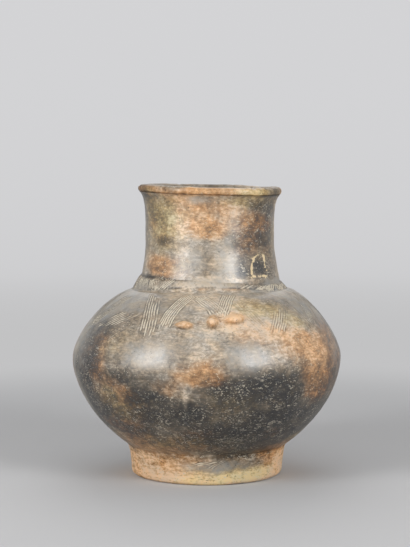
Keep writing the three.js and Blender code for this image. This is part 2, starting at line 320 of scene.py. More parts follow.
def curve(start, end, first, second):
    """A cubic curve between two points of (radius, level). Each handle is a share of the run
    and of the rise."""
    a, d = np.array(start, float), np.array(end, float)
    b, c = a + np.array(first) * (d - a), a + np.array(second) * (d - a)
    t = np.linspace(0, 1, CURVE_STEPS + 1)[:, None]
    return (1 - t) ** 3 * a + 3 * (1 - t) ** 2 * t * b + 3 * (1 - t) * t**2 * c + t**3 * d


def rounded(start, corner, end, count=16):
    """A curve from start to end that leaves each along its line to the corner."""
    a, b, c = (np.array(p, float) for p in (start, corner, end))
    t = np.linspace(0, 1, count + 1)[:, None]
    return (1 - t) ** 2 * a + 2 * (1 - t) * t * b + t**2 * c


def crossing(first, second):
    """Where the straight lines through two pairs of points meet."""
    along, beyond = first[1] - first[0], second[1] - second[0]
    share = np.linalg.solve(np.stack([along, -beyond], -1), second[0] - first[0])[0]
    return first[0] + share * along


def lengths(line):
    return np.concatenate([[0], np.cumsum(np.hypot(*np.diff(line, axis=0).T))])


def resample(line, spacing):
    """The line again with points that far apart."""
    s = lengths(line)
    count = max(int(math.ceil(s[-1] / spacing)), 1)
    return between(np.linspace(0, s[-1], count + 1), s, line)


def normals(line):
    """The unit normals of a line drawn upwards that point out of the clay."""
    along = np.gradient(line, axis=0)
    along /= np.linalg.norm(along, axis=1)[:, None]
    return np.stack([along[:, 1], -along[:, 0]], -1)


def beside(line, out):
    return line + normals(line) * out


def part_of(line, axis, low, high):
    """The stretch of a line between two values of its radius (0) or level (1), ends included."""
    s, value = lengths(line), line[:, axis]
    order = np.argsort(value)
    ends = np.interp([low, high], value[order], s[order])
    inside = (s > ends.min()) & (s < ends.max())
    return between(np.concatenate([[ends.min()], s[inside], [ends.max()]]), s, line)


# Outer surfaces, each drawn upwards
BOWL = curve((BASE_RADIUS, BASE_LIFT), (BODY_RADIUS, BOWL_TOP), (0.973, 0.454), (0.96, 0.953))
SHOULDER = curve(
    (BODY_RADIUS, BOWL_TOP), (SHOULDER_TOP_RADIUS, NECK_SEAT), (-0.086, 0.353), (0.555, 0.955)
)
WAIST = curve(
    (NECK_BASE_RADIUS, NECK_SEAT), (NECK_WAIST_RADIUS, WAIST_LEVEL), (0.222, 0.242), (1, 0.69)
)
FLARE = curve(
    (NECK_WAIST_RADIUS, WAIST_LEVEL), (NECK_TOP_RADIUS, LIP_SEAT), (0, 0.385), (-0.26, 0.885)
)
NECK = np.concatenate([WAIST, FLARE[1:]])

# The carination's corner is rounded, and the seam lies in the middle of the rounding
below = part_of(BOWL, 1, BASE_LIFT, BOWL_TOP - CREASE_ROUND)
above = part_of(SHOULDER, 1, BOWL_TOP + CREASE_ROUND, NECK_SEAT)
ridge = rounded(below[-1], crossing(below[-2:], above[:2]), above[0], CURVE_STEPS)
SEAM = ridge[len(ridge) // 2]
BOWL_SKIN = np.concatenate([below[:-1], ridge[: len(ridge) // 2 + 1]])
SHOULDER_SKIN = np.concatenate([ridge[len(ridge) // 2 :], above[1:]])

# The foot's outer wall meets the bowl in a crease
CREASE = part_of(BOWL, 0, BASE_RADIUS, FOOT_TOP_RADIUS)[-1]
FOOT_LEAN = (FOOT_TOP_RADIUS - FOOT_RADIUS) / CREASE[1]

# One line up the whole outside, to measure how far along the surface a level lies
OUTSIDE = np.concatenate(
    [
        [(FOOT_RADIUS, 0.0), CREASE],
        part_of(BOWL_SKIN, 0, FOOT_TOP_RADIUS + 0.1, SEAM[0]),
        SHOULDER_SKIN[1:],
        part_of(NECK, 1, NECK_SEAT + 0.1, LIP_SEAT),
        [(LIP_RADIUS, LIP_SEAT + LIP_CENTRE), (LIP_RADIUS - 1, LIP_SEAT + LIP_HEIGHT)],
    ]
)
OUTSIDE_RUN = lengths(OUTSIDE)


def run_at(level):
    return np.interp(level, OUTSIDE[:, 1], OUTSIDE_RUN)


def bend(points):
    """The slow unevenness of the whole pot, which every piece follows."""
    x, y, z = points.T
    azimuth = np.arctan2(x, -y)
    lift = np.clip((z - BOWL_TOP) / (NECK_SEAT - BOWL_TOP), 0, 1) ** SHIFT_GATHER
    tilt = np.clip((z - NECK_SEAT) / (LIP_SEAT - NECK_SEAT), 0, 1) ** TILT_GATHER
    left = bell(z - BOWL_TOP, CREASE_ROUND) * smooth(0, 1, -np.sin(azimuth))
    swell = waves(WOBBLE, points, 2, SEED) + LEFT_RIDGE * left
    reach = 1 + swell / np.maximum(np.hypot(x, y), STEADY_RADIUS)
    rise = waves(WOBBLE, points, 2, SEED + 5) * smooth(*STEADY_LEVELS, z)
    slope = math.tan(math.radians(MOUTH_TILT))
    return np.stack([x * reach + NECK_SHIFT * lift, y * reach, z - x * slope * tilt + rise], -1)


def comb_strokes():
    """The strokes read off the front, and more of the same zigzag round the back."""
    chance = np.random.default_rng(SEED)
    strokes = list(COMB)
    azimuth, lean_to = BACK_COMB_FROM, BACK_COMB_LEAN
    while azimuth < BACK_COMB_TO:
        half = (lean_to + chance.uniform(-2, 2)) / 2
        low = BACK_COMB_LOW + chance.uniform(-3, 3)
        high = BACK_COMB_HIGH + chance.uniform(-4, 3)
        teeth, press = int(chance.integers(5, 8)), chance.uniform(0.6, 1.0)
        ends = azimuth - half, low, azimuth + half, high
        strokes.append((*ends, teeth, BACK_COMB_PITCH, 0.0, press))
        azimuth += BACK_COMB_STEP + chance.uniform(-1.5, 1.5)
        lean_to = -lean_to
    return strokes


def collar_strokes():
    """Short slanting marks where the collar was worked onto the neck."""
    chance = np.random.default_rng(SEED + 1)
    strokes = []
    for azimuth in COLLAR_STROKES_AT:
        lean = chance.choice((-1, 1)) * chance.uniform(1.5, 4)
        azimuth += chance.uniform(-1.5, 1.5)
        low = collar_foot(azimuth) - chance.uniform(0, 1.5)
        high = collar_top(azimuth) - chance.uniform(0.3, 2)
        ends = azimuth - lean, low, azimuth + lean, high
        press = chance.uniform(0.8, 1.4)
        strokes.append((*ends, COLLAR_STROKE_TEETH, COLLAR_STROKE_PITCH, 0.0, press))
    return strokes


def comb(strokes, azimuth, run, radius, points):
    """How deep the combing's grooves are at each place, and how strong the lands beside them."""
    depth, land = np.zeros((2, len(azimuth)))
    ragged = noise(points, 6, 2, SEED + 31)
    for index, (az_low, low, az_high, high, teeth, pitch, bow, press) in enumerate(strokes):
        start, end = run_at(low), run_at(high)
        t = (run - start) / (end - start)
        centre = az_low + (az_high - az_low) * t + 4 * bow * t * (1 - t)
        off = arc(azimuth, centre, radius)
        near = (np.abs(off) < COMB_NEAR) & (t > -0.2) & (t < 1.2)
        lean = np.radians(az_high - az_low) * radius / (end - start)
        across = off / np.sqrt(1 + lean**2) + COMB_WANDER * ragged
        tooth = np.clip(np.round(across / pitch + (teeth - 1) / 2), 0, teeth - 1)
        middle = (tooth - (teeth - 1) / 2) * pitch
        cell = np.stack([tooth, np.full_like(tooth, index), np.zeros_like(tooth)], -1)
        own = [lattice(cell.astype(np.int64), SEED + k) for k in range(3)]
        slip, slip_top = COMB_SLIP * own[0], COMB_SLIP * own[1]
        ends = smooth(-0.05 + slip, 0.06 + slip, t) * smooth(1.05 + slip_top, 0.93 + slip_top, t)
        aside = np.abs(across - middle) / pitch
        pressed = press * (0.88 + 0.22 * own[2]) * ends * (0.95 + 0.6 * ragged)
        pressed = np.where(near, pressed, 0)
        depth = np.maximum(depth, smooth(0.5, 0.06, aside) * pressed)
        land = np.maximum(land, smooth(0.2, 0.4, aside) * smooth(0.8, 0.55, aside) * pressed)
    return np.clip(depth, 0, 1.2), np.clip(land, 0, 1)


def flake(azimuth, run, radius):
    """How far each place lies outside the edge of the flake, in millimetres."""
    here = np.stack([arc(azimuth, 0, radius), run], -1)
    edge = np.array([(math.radians(a) * NECK_WAIST_RADIUS, run_at(z)) for a, z in FLAKE])
    nearest, inside = np.full(len(here), np.inf), np.zeros(len(here), bool)
    for start, end in zip(edge, np.roll(edge, -1, 0)):
        along, away = end - start, here - start
        share = np.clip(away @ along / (along @ along), 0, 1)
        nearest = np.minimum(nearest, np.hypot(*(away - share[:, None] * along).T))
        spans = (start[1] > here[:, 1]) != (end[1] > here[:, 1])
        inside ^= spans & (away[:, 0] < away[:, 1] * along[0] / along[1])
    nearest *= 0.8 + 0.3 * smooth(0, 8, here[:, 1] - edge[:, 1].min())
    return np.where(inside, -nearest, nearest)


def relief(run, points, level):
    """The fine unevenness of the exposed skin, outwards, without the combing."""
    along = np.stack([points[:, 0], points[:, 1], run], -1)
    dimple = waves(DIMPLE, points, 3, SEED + 11)
    stroke = waves(STROKE, along, 2, SEED + 13, (5, 5, 1))
    grit = waves(GRIT, points, 2, SEED + 17)
    foot = smooth(CREASE[1] + 2, CREASE[1] - 2, level)
    brushed = foot * waves(BRUSHED, along, 3, SEED + 19, (9, 9, 1))
    wiped = bell(level - LIP_SEAT + 6, 5) * waves(WIPED, along, 2, SEED + 23, (12, 12, 1))
    return dimple + stroke + grit + brushed + wiped


def spots(kind):
    """A kind's clouds: those named for the front, and others like them over the back."""
    chance = np.random.default_rng(SEED + sorted(CLOUDS).index(kind))
    back = []
    for azimuth, level, half_width, half_height, strength in CLOUDS[kind]:
        if half_width < WIDEST_BACK_CLOUD:
            opposite = 180 + BACK_SPREAD * azimuth + chance.uniform(-14, 14)
            level = np.clip(level + chance.uniform(-12, 12), *BACK_LEVELS)
            grow = chance.uniform(0.9, 1.4)
            back.append((opposite, level, half_width * grow, half_height * grow, strength))
    return CLOUDS[kind] + back


def cloud(kind, azimuth, run, radius, points):
    """How strongly one kind's clouds cover each place, from 0 to 1, with wandering edges."""
    seed = SEED + 40 + 3 * sorted(CLOUDS).index(kind)
    far, size = CLOUD_WANDER
    sideways = far * noise(points, size, 3, seed)
    upwards = far * noise(points, size, 3, seed + 1)
    cover = np.zeros(len(azimuth))
    for centre, level, half_width, half_height, strength in spots(kind):
        loose = min(1.0, min(half_width, half_height) / size * 2)
        across = arc(azimuth, centre, radius) + loose * sideways
        along = run - run_at(level) + loose * upwards
        distance = np.hypot(across / half_width, along / half_height)
        cover = 1 - (1 - cover) * (1 - strength * np.exp(-CLOUD_FADE * distance**3))
    return cover


def skin_normal(level):
    """Which way the outside faces at a level, as shares of radius and height."""
    line = resample(OUTSIDE, 1.0)
    facing = between(level, line[:, 1], normals(line))
    return facing / np.linalg.norm(facing, axis=1)[:, None]


class Section:
    """The outline that a piece is turned from, listed anticlockwise, one stretch at a time.

    A stretch starts where the last one ended, and the mesh has a sharp edge there. Skin is the
    share of the outside's relief that a stretch takes, and lining the share of the inside's."""

    COLUMNS = "radius", "level", "skin", "lining", "out", "up", "run"

    def __init__(self):
        self.stretches = []

    def add(self, line, spacing, skin=0.0, lining=0.0, outside=False):
        """Outside marks a stretch of the pot's own outline, whose neighbours share its relief."""
        line = resample(np.array(line, float), spacing)
        facing = skin_normal(line[:, 1]) if outside else normals(line)
        run = run_at(line[:, 1]) if outside else run_at(line[0, 1]) + lengths(line)
        weights = np.full((len(line), 2), (skin, lining), float)
        self.stretches.append(np.column_stack([line, weights, facing, run])[:-1])
        return self

    @property
    def rows(self):
        return np.concatenate(self.stretches)

    @property
    def starts(self):
        return np.cumsum([0] + [len(stretch) for stretch in self.stretches[:-1]])

    def at(self, row):
        """The outline's values, by name, at rows that may lie between two of its points."""
        rows = self.rows
        low = np.floor(row).astype(int)
        share = (row - low)[:, None]
        values = rows[low % len(rows)] * (1 - share) + rows[(low + 1) % len(rows)] * share
        return dict(zip(self.COLUMNS, values.T))


def weave(fine):
    """The faces of a grid of cells that closes on itself both ways, with its fine cells split in
    four. Gives each vertex's row and column, and each face's vertices and cell."""
    rows, columns = fine.shape
    cell = np.stack(np.mgrid[0:rows, 0:columns], -1)
    places = [cell.reshape(-1, 2).astype(float)]

    def midpoints(wanted, shift):
        numbers = np.full(fine.shape, -1)
        numbers[wanted] = sum(len(p) for p in places) + np.arange(wanted.sum())
        places.append(cell[wanted] + np.array(shift, float))
        return numbers

    a = np.arange(rows * columns).reshape(rows, columns)
    b, d = np.roll(a, -1, 1), np.roll(a, -1, 0)
    c = np.roll(b, -1, 0)
    low = midpoints(fine | np.roll(fine, 1, 0), (0, 0.5))
    left = midpoints(fine | np.roll(fine, 1, 1), (0.5, 0))
    centre = midpoints(fine, (0.5, 0.5))
    high, right = np.roll(low, -1, 0), np.roll(left, -1, 1)
    faces = [np.stack([a, low, b, right, c, high, d, left], -1)[~fine]]
    quarters = [(a, low, centre, left), (low, b, right, centre)]
    quarters += [(centre, right, c, high), (left, centre, high, d)]
    none = np.full_like(a, -1)
    faces += [np.stack([*corners, *[none] * 4], -1)[fine] for corners in quarters]
    cells = [cell[~fine]] + [cell[fine]] * 4
    return np.concatenate(places), np.concatenate(faces), np.concatenate(cells)


def strip_map(section, places, cells, strips):
    """Lays the piece out flat, cut into strips round the pot that are stacked on each other.
    The skin gets more of each strip than what lies inside."""
    rows = section.rows
    steps = np.hypot(*(np.roll(rows[:, :2], -1, 0) - rows[:, :2]).T)
    along = np.concatenate([[0], np.cumsum(steps * np.where(rows[:, 2] > 0, 1, INNER_SHARE))])
    along /= along[-1]
    count, columns = len(rows), int(places[:, 1].max()) + 1
    row = np.where(places[:, 0] < cells[:, 0], places[:, 0] + count, places[:, 0])
    column = np.where(places[:, 1] < cells[:, 1], places[:, 1] + columns, places[:, 1])
    width = columns / strips
    strip = np.floor(cells[:, 1] / width)
    u = STRIP_MARGIN + (1 - 2 * STRIP_MARGIN) * (column / width - strip)
    v = STRIP_MARGIN + (1 - 2 * STRIP_MARGIN) * np.interp(row, np.arange(count + 1), along)
    return np.stack([u, (strip + v) / strips], -1)


def placed(name, data):
    """An object in the scene, made from its mesh, light or camera."""
    thing = bpy.data.objects.new(name, data)
    bpy.context.scene.collection.objects.link(thing)
    return thing


def mesh_object(name, points, faces, uv, fields, creases):
    """A piece, from its points in millimetres and its faces, whose rows are padded with -1.
    A crease is a ring of vertices whose edges stay sharp."""
    used = faces >= 0
    sizes = used.sum(1)
    mesh = bpy.data.meshes.new(name)
    mesh.vertices.add(len(points))
    mesh.vertices.foreach_set("co", (points * MM).astype(np.float32).ravel())
    mesh.loops.add(int(sizes.sum()))
    mesh.loops.foreach_set("vertex_index", faces[used].astype(np.int32))
    mesh.polygons.add(len(faces))
    starts = np.concatenate([[0], np.cumsum(sizes)[:-1]])
    mesh.polygons.foreach_set("loop_start", starts.astype(np.int32))
    mesh.update(calc_edges=True)
    mesh.uv_layers.new(name="OFBake").data.foreach_set("uv", uv.astype(np.float32).ravel())
    for key, values in fields.items():
        layer = mesh.attributes.new(key, "FLOAT", "POINT")
        layer.data.foreach_set("value", values.astype(np.float32))
    crease_of = np.full(len(points), -1)
    for index, ring in enumerate(creases):
        crease_of[ring] = index
    ends = np.empty(2 * len(mesh.edges), np.int32)
    mesh.edges.foreach_get("vertices", ends)
    ends = crease_of[ends.reshape(-1, 2)]
    layer = mesh.attributes.new("sharp_edge", "BOOLEAN", "EDGE")
    layer.data.foreach_set("value", (ends[:, 0] >= 0) & (ends[:, 0] == ends[:, 1]))
    mesh.validate()
    return placed(name, mesh)


def position(radius, level, azimuth):
    """The points at an azimuth, which counts from the front towards the right."""
    turn = np.radians(azimuth)
    return np.stack([radius * np.sin(turn), -radius * np.cos(turn), level + 0 * turn], -1)


def surface_fields(azimuth, run, radius, points):
    """What the clay material reads at each place."""
    fields = {kind: cloud(kind, azimuth, run, radius, points) for kind in CLOUDS}
    # The collar's creases add painted shade to the soot
    fields["soot"] = np.maximum(fields["soot"], crease_depth_and_shade(azimuth, points))
    none = np.zeros(len(points))
    return fields | {"run": run, "comb": none, "land": none, "flake": none + FLAKE_FAR}


def crease_depth_and_shade(azimuth, points):
    """How deep each place lies in the creases along the collar's top edge and its step. The colour
    takes it as painted shade, darkest under the step, and as a darker line along the top edge.
    """
    run, torn = run_at(points[:, 2]), noise(points, 8, 3, SEED + 61)
    above = run - run_at(collar_top(azimuth)) - 0.5 * torn
    below = run - run_at(collar_foot(azimuth)) + 0.4 - 0.5 * torn
    side = np.sin(np.radians(azimuth))
    sides = 0.15 + np.where(side > 0, 0.5 * side, -0.85 * side)
    return np.clip(sides * bell(above, 1.4) + (0.6 + torn) * bell(below, 0.7), 0, 1)


def comb_cells(section, columns, strokes):
    """The cells of a grid that the combing crosses, and those beside them."""
    count = len(section.rows)
    row, azimuth = np.mgrid[0:count:0.5, 0:columns:0.5]
    row, azimuth = row.ravel(), azimuth.ravel() * 360 / columns
    at = section.at(row)
    points = position(at["radius"], at["level"], azimuth)
    depth = comb(strokes, azimuth, at["run"], at["radius"], points)[0] * at["skin"]
    crossed = (depth > FAINTEST_GROOVE).reshape(count, 2, columns, 2).any((1, 3))
    crossed |= np.roll(crossed, 1, 1) | np.roll(crossed, -1, 1)
    crossed &= (section.rows[:, 2] > 0)[:, None]
    crossed[-1] = False
    return crossed


def turned(name, section, columns, strips=3, strokes=(), flaked=False, shape=None, solid=False):
    """A piece of the pot, turned from its section and then worked by hand.

    Shape moves the radius, level and run by azimuth. A solid piece closes on the axis."""
    places, faces, cells = weave(comb_cells(section, columns, strokes))
    if solid:
        keep = cells[:, 0] < len(section.rows) - 1
        faces, cells = faces[keep], cells[keep]
    at = section.at(places[:, 0])
    azimuth = places[:, 1] * 360 / columns
    radius, level, run = at["radius"], at["level"], at["run"]
    if shape:
        radius, level, run = shape(azimuth, radius, level, run)
    points = position(radius, level, azimuth)
    fields = surface_fields(azimuth, run, radius, points)
    fields["lining"] = at["lining"]
    fields["comb"], fields["land"] = at["skin"] * comb(strokes, azimuth, run, radius, points)
    if flaked:
        fields["flake"] = np.minimum(flake(azimuth, run, radius), FLAKE_FAR) * at["skin"]
        fields["flake"] += FLAKE_FAR * (1 - at["skin"])
    move = at["skin"] * relief(run, points, level) + at["lining"] * finger_marks(points)
    move = move - COMB_DEPTH * fields["comb"] - FLAKE_DEPTH * smooth(0.3, -0.7, fields["flake"])
    move = move - at["skin"] * CREASE_DEPTH * crease_depth_and_shade(azimuth, points)
    level = np.maximum(level + move * at["up"], 0)
    points = position(radius + move * at["out"], level, azimuth)
    corner_cells = np.repeat(cells, (faces >= 0).sum(1), axis=0)
    uv = strip_map(section, places[faces[faces >= 0]], corner_cells, strips)
    creases = [np.arange(start * columns, (start + 1) * columns) for start in section.starts]
    piece = mesh_object(name, bend(points), faces, uv, fields, creases)
    if solid:
        tidy = bmesh.new()
        tidy.from_mesh(piece.data)
        bmesh.ops.remove_doubles(tidy, verts=tidy.verts, dist=WELD)
        tidy.to_mesh(piece.data)
        tidy.free()
    return piece


def finger_marks(points):
    """The uneven inside, where the coils were drawn together."""
    return waves(FINGER_MARKS, points, 3, SEED + 71, (2.5, 2.5, 1))


def lower_body():
    inner = beside(BOWL, -WALL)
    shoulder_inner = beside(SHOULDER, -WALL)
    scarf_end = part_of(shoulder_inner, 1, BOWL_TOP + SCARF_RISE, NECK_SEAT - WALL)[0]
    turn_level = shoulder_inner[0, 1]
    lining = np.concatenate([[scarf_end], part_of(inner, 1, inner[0, 1], turn_level)[::-1]])
    section = Section()
    hidden = FOOT_TOP_RADIUS - 3
    section.add(part_of(BOWL_SKIN, 0, BASE_RADIUS, hidden), 2.5, skin=0.5, outside=True)
    section.add(part_of(BOWL_SKIN, 0, hidden, SEAM[0]), 1.2, skin=1.0, outside=True)
    section.add([SEAM, scarf_end], 4.0)
    section.add(lining, 4.0, lining=1.0)
    section.add([lining[-1], BOWL_SKIN[0]], 3.0)
    return turned("lower_body", section, columns=600)


def shoulder():
    inner = part_of(beside(SHOULDER, -WALL), 1, BOWL_TOP + SCARF_RISE, NECK_SEAT)[::-1]
    top = SHOULDER_SKIN[-1]
    hole = (NECK_BORE_RADIUS, NECK_SEAT)
    under = (NECK_BORE_RADIUS, inner[0, 1])
    section = Section()
    section.add(SHOULDER_SKIN, 1.0, skin=1.0, outside=True)
    section.add([top, hole], 3.0)
    section.add([hole, under], 3.0, lining=0.5)
    section.add(np.concatenate([[under], inner]), 5.0, lining=1.0)
    section.add([inner[-1], SEAM], 4.0)
    return turned("shoulder", section, columns=540, strokes=comb_strokes())


def neck():
    inner = beside(NECK, -WALL)[::-1].copy()
    inner[0, 1], inner[-1, 1] = LIP_SEAT, NECK_SEAT
    section = Section()
    section.add(NECK, 1.2, skin=1.0, outside=True)
    section.add([NECK[-1], inner[0]], 3.0)
    section.add(inner, 2.0, lining=0.7)
    section.add([inner[-1], NECK[0]], 3.0)
    return turned("neck", section, columns=420, flaked=True)


def rim_roll():
    """A roll of clay, squared a little, whose underside is pressed onto the neck."""
    middle = np.array(((LIP_RADIUS + LIP_BORE_RADIUS) / 2, LIP_SEAT + LIP_CENTRE))
    half = np.array(((LIP_RADIUS - LIP_BORE_RADIUS) / 2, LIP_HEIGHT - LIP_CENTRE))
    turn = np.radians(np.arange(-90, 271, 5))
    circle = np.stack([np.cos(turn), np.sin(turn)], -1)
    roll = middle + half * np.sign(circle) * np.abs(circle) ** LIP_SQUARING
    return turned("rim_roll", Section().add(roll, 0.8, skin=0.8), columns=420, shape=uneven_rim)


def uneven_rim(azimuth, radius, level, run):
    """The lip dips and swells, and its top is nicked here and there."""
    ring = level_ring(azimuth, LIP_RADIUS)
    top = smooth(LIP_SEAT + LIP_CENTRE, LIP_SEAT + LIP_HEIGHT, level)
    dip = waves(RIM_DIP, ring, 2, SEED + 81)
    nick = RIM_NICK[0] * smooth(0.55, 0.95, noise(ring, RIM_NICK[1], 2, SEED + 83))
    swell = waves(RIM_SWELL, ring, 2, SEED + 85)
    outer = smooth((LIP_RADIUS + LIP_BORE_RADIUS) / 2, LIP_RADIUS, radius)
    return radius + swell * outer, level + top * (dip - nick), run


def collar():
    """A fillet of clay that ends on the shoulder in a low step and on the neck in a crease."""
    low = part_of(SHOULDER, 0, COLLAR_REACH - 1, BODY_RADIUS)[-1]
    high = part_of(NECK, 1, NECK_SEAT + COLLAR_HEIGHT, LIP_SEAT)[0]
    face = curve(low - (0, FEATHER), high - (FEATHER, 0), (0.35, 0.12), (0.72, 0.92))
    back = face[-1] - (2, 0)
    under = face[0] - (2, 2)
    section = Section()
    section.add(face, 0.6, skin=1.0)
    section.add([face[-1], back], 2.0)
    section.add([back, under], 3.0)
    section.add([under, face[0]], 2.0)
    return turned("collar", section, columns=480, strokes=collar_strokes(), shape=collar_shape)


def collar_rise(azimuth):
    """How much higher than on the solid the collar reaches up the neck."""
    wave = waves(COLLAR_WAVE, level_ring(azimuth, NECK_BASE_RADIUS), 2, SEED + 91)
    return COLLAR_LIFT - COLLAR_SLANT * np.sin(np.radians(azimuth)) + wave


def collar_top(azimuth):
    return NECK_SEAT + COLLAR_HEIGHT + collar_rise(azimuth)


def collar_foot(azimuth):
    """The level of the step that the collar's thick part ends in."""
    front = np.clip(np.cos(np.radians(azimuth)), 0, 1)
    return NECK_SEAT + 0.2 + COLLAR_ARCH * front**2


def collar_shape(azimuth, radius, level, run):
    """The collar follows the neck where it reaches higher, and its thick part ends in a step."""
    low, high = NECK_SEAT - COLLAR_BULGE, NECK_SEAT + COLLAR_HEIGHT
    share = np.clip((level - low) / (high - low), 0, 1)
    moved = level + collar_rise(azimuth) * share
    wider = np.interp(moved, NECK[:, 1], NECK[:, 0]) - np.interp(level, NECK[:, 1], NECK[:, 0])
    uneven = 0.8 + 0.8 * noise(position(COLLAR_REACH, level, azimuth), 11, 2, SEED + 93)
    foot = collar_foot(azimuth) + 0.5 * (uneven - 0.8)
    step = COLLAR_STEP * uneven * smooth(foot - 0.4, foot + 0.5, moved) * (1 - share)
    return radius + share * wider, moved + step, run_at(moved)


def foot_ring():
    """A ring of clay with a soft edge on the ground, smeared up onto the bowl in a crease."""
    ground = FOOT_RADIUS - FOOT_ROUND, 0
    turn = FOOT_RADIUS + FOOT_LEAN * FOOT_ROUND, FOOT_ROUND
    top = part_of(BOWL, 0, FOOT_TOP_RADIUS + 0.8, BODY_RADIUS)[0] - (0, FEATHER)
    wall = np.concatenate(
        [rounded(ground, (FOOT_RADIUS, 0), turn), curve(turn, top, (0.2, 0.4), (0.3, 0.78))[1:]]
    )
    seat = part_of(BOWL, 0, FOOT_BORE_RADIUS, FOOT_TOP_RADIUS)[::-1]
    inner_ground = FOOT_BORE_RADIUS + FOOT_EDGE, 0
    bore = rounded((FOOT_BORE_RADIUS, FOOT_EDGE), (FOOT_BORE_RADIUS, 0), inner_ground)
    section = Section()
    section.add(wall, 0.8, skin=1.0)
    section.add(np.concatenate([[wall[-1]], seat]), 2.5)
    section.add(np.concatenate([[seat[-1]], bore]), 1.5, skin=0.7)
    section.add([inner_ground, ground], 1.5)
    return turned("foot_ring", section, columns=480, strokes=FOOT_SCRATCHES, shape=foot_crease)


def foot_crease(azimuth, radius, level, run):
    """The foot's upper edge rises and falls a little round the pot."""
    rise = waves(FOOT_WAVE, level_ring(azimuth, FOOT_RADIUS), 2, SEED + 95)
    return radius, level + rise * smooth(CREASE[1] * 0.5, CREASE[1], level), run


def base_disc():
    out = normals(BOWL)[0]
    edge = np.array((BASE_RADIUS, BASE_LIFT))
    top = edge + out * BASE_THICKNESS / out[1]
    section = Section()
    section.add([(0, BASE_LIFT), edge], 3.0, skin=0.5)
    section.add([edge, top], 3.0)
    section.add([top, (0, top[1])], 3.0, lining=1.0)
    section.add([(0, top[1]), (0, BASE_LIFT)], BASE_LIFT)
    return turned("base_disc", section, columns=120, strips=1, solid=True)


# Lugs: azimuth and level of the middle, half length, half breadth and height, the turn from level
# in degrees, how far the crest sags down the slope, where along it the clay is fullest, and how
# pale it was burnt
LUGS = {
    "lug_left": (-11.3, 126.8, 9.6, 4.8, 4.4, -1, 2.1, 0.15, 0.75),
    "lug_centre": (2.2, 129.6, 8.2, 6.0, 5.4, 84, 2.4, -0.35, 0.6),
    "lug_right": (13.4, 131.0, 11.6, 5.9, 4.6, 13, 2.2, -0.25, 0.75),
}
LUG_RINGS = 22
LUG_SIDES = 96
LUG_DEPTH = 1.2  # how far a lug reaches into the shoulder


def on_shoulder(azimuth, run, height):
    """Points at an azimuth, a length along the outside and a height above it."""
    radius, level = between(run, OUTSIDE_RUN, OUTSIDE).T
    facing = skin_normal(level)
    points = position(radius, level, azimuth)
    height = height + relief(run, points, level)
    return position(radius + height * facing[:, 0], level + height * facing[:, 1], azimuth)


def lug(name):
    """A pinch of clay pressed on by hand, with a thin upper side and an undercut lower one."""
    azimuth, level, half_length, half_breadth, height, turn, sag, fullest, pale = LUGS[name]
    ring, side = np.mgrid[1 : LUG_RINGS + 1, 0:LUG_SIDES]
    ring, angle = ring.ravel() / LUG_RINGS, side.ravel() * 2 * np.pi / LUG_SIDES
    ring = np.concatenate([[0], ring])
    angle = np.concatenate([[0], angle])
    x, y = ring * np.cos(angle), ring * np.sin(angle)
    taper = 1 - 0.45 * np.abs(x) ** 1.5
    crest = height * (1 - ring**2) ** 1.35 * (1 - 0.35 * (x - fullest) ** 2)
    along, across = x * half_length, y * half_breadth * taper
    lean = math.radians(turn)
    sideways = along * math.cos(lean) - across * math.sin(lean)
    upwards = along * math.sin(lean) + across * math.cos(lean) - sag * crest / height
    radius = np.interp(run_at(level), OUTSIDE_RUN, OUTSIDE[:, 0])
    run = run_at(level) + upwards
    turned_to = azimuth + np.degrees(sideways / radius)
    top = on_shoulder(turned_to, run, crest - FEATHER * ring**6)
    top[:, 2] += waves(LUG_WAVE, top, 2, SEED + 101)
    under = on_shoulder(turned_to, run, -LUG_DEPTH * np.ones_like(run))
    points = np.concatenate([top, under])
    count = len(top)

    def cap(start):
        grid = np.arange(LUG_RINGS * LUG_SIDES).reshape(LUG_RINGS, LUG_SIDES) + start + 1
        beyond = np.roll(grid, -1, 1)
        quads = np.stack([grid[:-1], grid[1:], beyond[1:], beyond[:-1]], -1).reshape(-1, 4)
        middle = np.full(LUG_SIDES, start)
        fan = np.stack([middle, grid[0], beyond[0], np.full(LUG_SIDES, -1)], -1)
        return np.concatenate([fan, quads])

    edge = np.arange(LUG_SIDES) + count - LUG_SIDES
    beyond = np.roll(edge, -1)
    skirt = np.stack([edge, edge + count, beyond + count, beyond], -1)
    lower = cap(count)
    lower = np.where(lower[:, 3:] < 0, lower[:, [0, 2, 1, 3]], lower[:, ::-1])
    faces = np.concatenate([cap(0), skirt, lower])
    flat = np.stack([0.25 + 0.24 * x, 0.5 + 0.48 * y], -1)
    flat = np.concatenate([flat, flat + (0.5, 0)])
    fields = surface_fields(np.tile(turned_to, 2), np.tile(run, 2), radius, points)
    # Painted shade: the lug's underside gets soot and less pale, so its top reads lighter
    below = smooth(0.1, -0.9, upwards / np.abs(upwards).max()) * smooth(0.35, 0.95, ring)
    own = {"soot": 0.7 * below, "pale": pale - 0.9 * below, "ember": 0.7, "olive": 0, "ash": 0.1}
    edge_share = smooth(0.45, 0.95, ring)
    for kind, value in own.items():
        own_share = np.tile((1 - edge_share) * value, 2)
        fields[kind] = own_share + np.tile(edge_share, 2) * fields[kind]
    fields["lining"] = np.zeros(len(points))
    return mesh_object(name, bend(points), faces, flat[faces[faces >= 0]], fields, [edge])


def linear(colour):
    """A colour named on the usual scale of 0 to 255, as the renderer takes it."""
    shares = (np.array(colour) / 255 + 0.055) / 1.055
    return (*(shares**2.4), 1.0)


